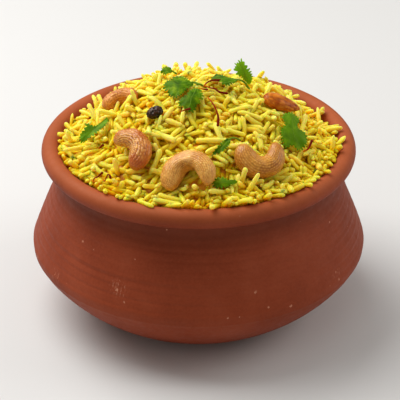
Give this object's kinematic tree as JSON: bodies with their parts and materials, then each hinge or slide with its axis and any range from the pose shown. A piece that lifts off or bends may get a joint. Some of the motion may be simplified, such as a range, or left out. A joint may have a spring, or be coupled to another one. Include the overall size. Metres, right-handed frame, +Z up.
{
  "type": "bowl of ghee rice",
  "caption": "Low clay handi with a rolled lip, heaped with yellow ghee rice under fried cashews, an almond, a raisin, coriander leaves and saffron threads.",
  "frame": {"origin": "centre of the foot's underside, which is the bottom centre of the whole", "axes": "+Z up, -Y towards the front side shown in the picture, +X to its right"},
  "size_m": [0.1554, 0.1554, 0.1217],
  "materials": {
    "clay": "unglazed fired red clay, matt, with a faint waxy sheen",
    "rice": "cooked rice, yellow, moist and a little glossy with ghee",
    "cashew_pale": "fried nut, golden tan, satin",
    "cashew_brown": "fried nut, deep reddish brown, satin",
    "almond": "nut in its fried skin, orange brown, satin",
    "raisin": "dried fruit, near black, glossy on its folds",
    "leaf": "fresh green leaf, satin"
  },
  "bodies": {
    "root": {"pot": "clay", "rice": "rice", "cashew_left": "cashew_brown", "cashew_centre": "cashew_pale", "cashew_right": "cashew_pale", "cashew_back": "cashew_brown", "almond": "almond", "raisin": "raisin", "leaf_top": "leaf", "leaf_crown": "leaf", "leaf_back": "leaf", "leaf_left": "leaf", "leaf_right": "leaf", "leaf_middle": "leaf", "leaf_front": "leaf"}
  },
  "joints": []
}
